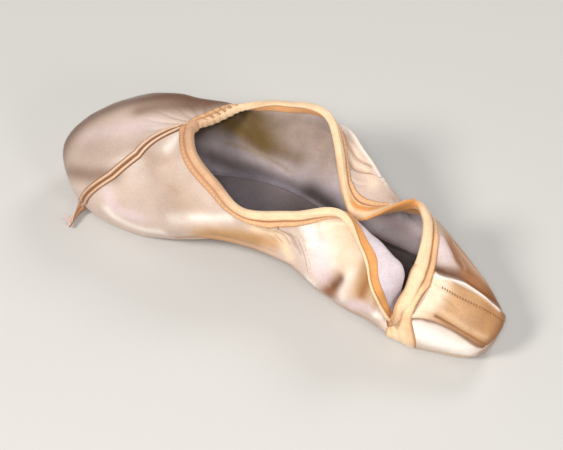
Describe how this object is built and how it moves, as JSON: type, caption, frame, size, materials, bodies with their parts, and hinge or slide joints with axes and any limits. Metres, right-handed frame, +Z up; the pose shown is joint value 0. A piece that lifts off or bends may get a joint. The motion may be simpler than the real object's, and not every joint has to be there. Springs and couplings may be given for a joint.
{
  "type": "pointe shoe",
  "caption": "Worn pink satin pointe shoe with a slack peach-bound collar, turned down at one side, and a flat tan strip over the toe box.",
  "frame": {"origin": "centre of the bounding box, at the floor under the sole", "axes": "+X toward the toe, +Y toward the side with the high far quarter, +Z up"},
  "size_m": [0.2262, 0.0792, 0.0636],
  "materials": {
    "satin": "satin",
    "binding": "matte",
    "sole_leather": "matte",
    "board": "matte",
    "tape": "satin",
    "worn_satin": "satin"
  },
  "bodies": {
    "root": {"upper": "satin", "collar_binding": "binding", "outsole": "sole_leather", "insole": "board", "back_strip": "tape", "vamp_strip": "worn_satin"}
  },
  "joints": []
}
